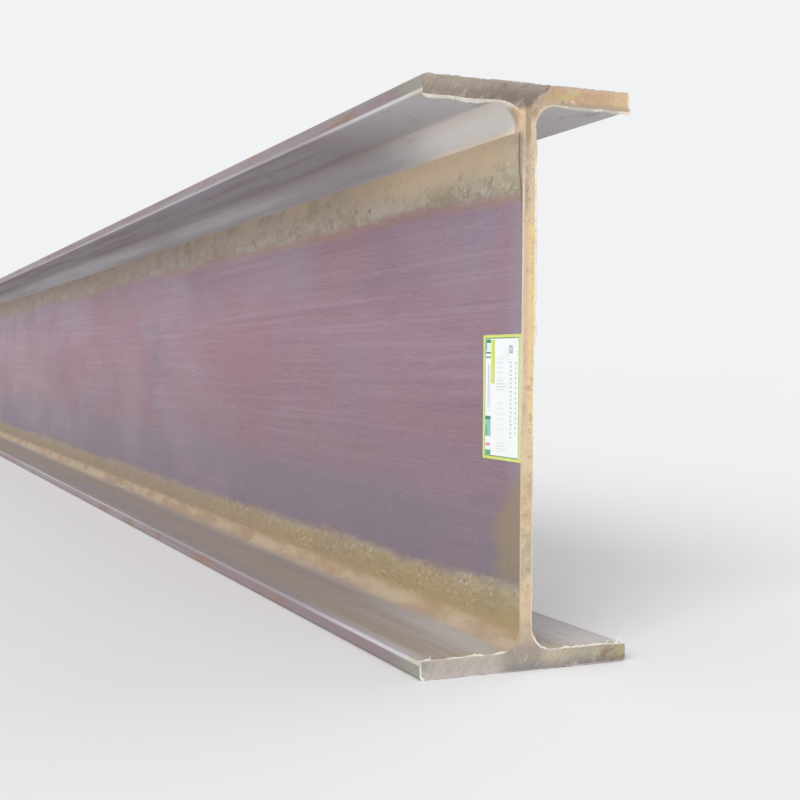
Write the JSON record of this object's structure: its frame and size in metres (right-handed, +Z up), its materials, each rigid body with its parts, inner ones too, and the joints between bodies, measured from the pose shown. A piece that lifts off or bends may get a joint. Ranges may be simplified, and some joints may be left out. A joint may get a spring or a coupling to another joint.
{
  "type": "steel h-beam",
  "caption": "Long hot-rolled steel beam with two flanges on an upright web, root fillets, sawn square ends and a paper label on the web beside one end.",
  "frame": {"origin": "on the underside of the lower flange, under the middle of the beam's length", "axes": "+Y along the beam, away from the labelled end; +Z up the web; +X across the flanges, away from the label's side"},
  "size_m": [0.2, 6, 0.5],
  "materials": {
    "mill_scale_steel": "hot-rolled mill scale with light rust, bare sawn ends",
    "label_paper": "coated paper with a coloured border"
  },
  "bodies": {
    "root": {"h_beam": "mill_scale_steel", "mill_label": "label_paper"}
  },
  "joints": []
}
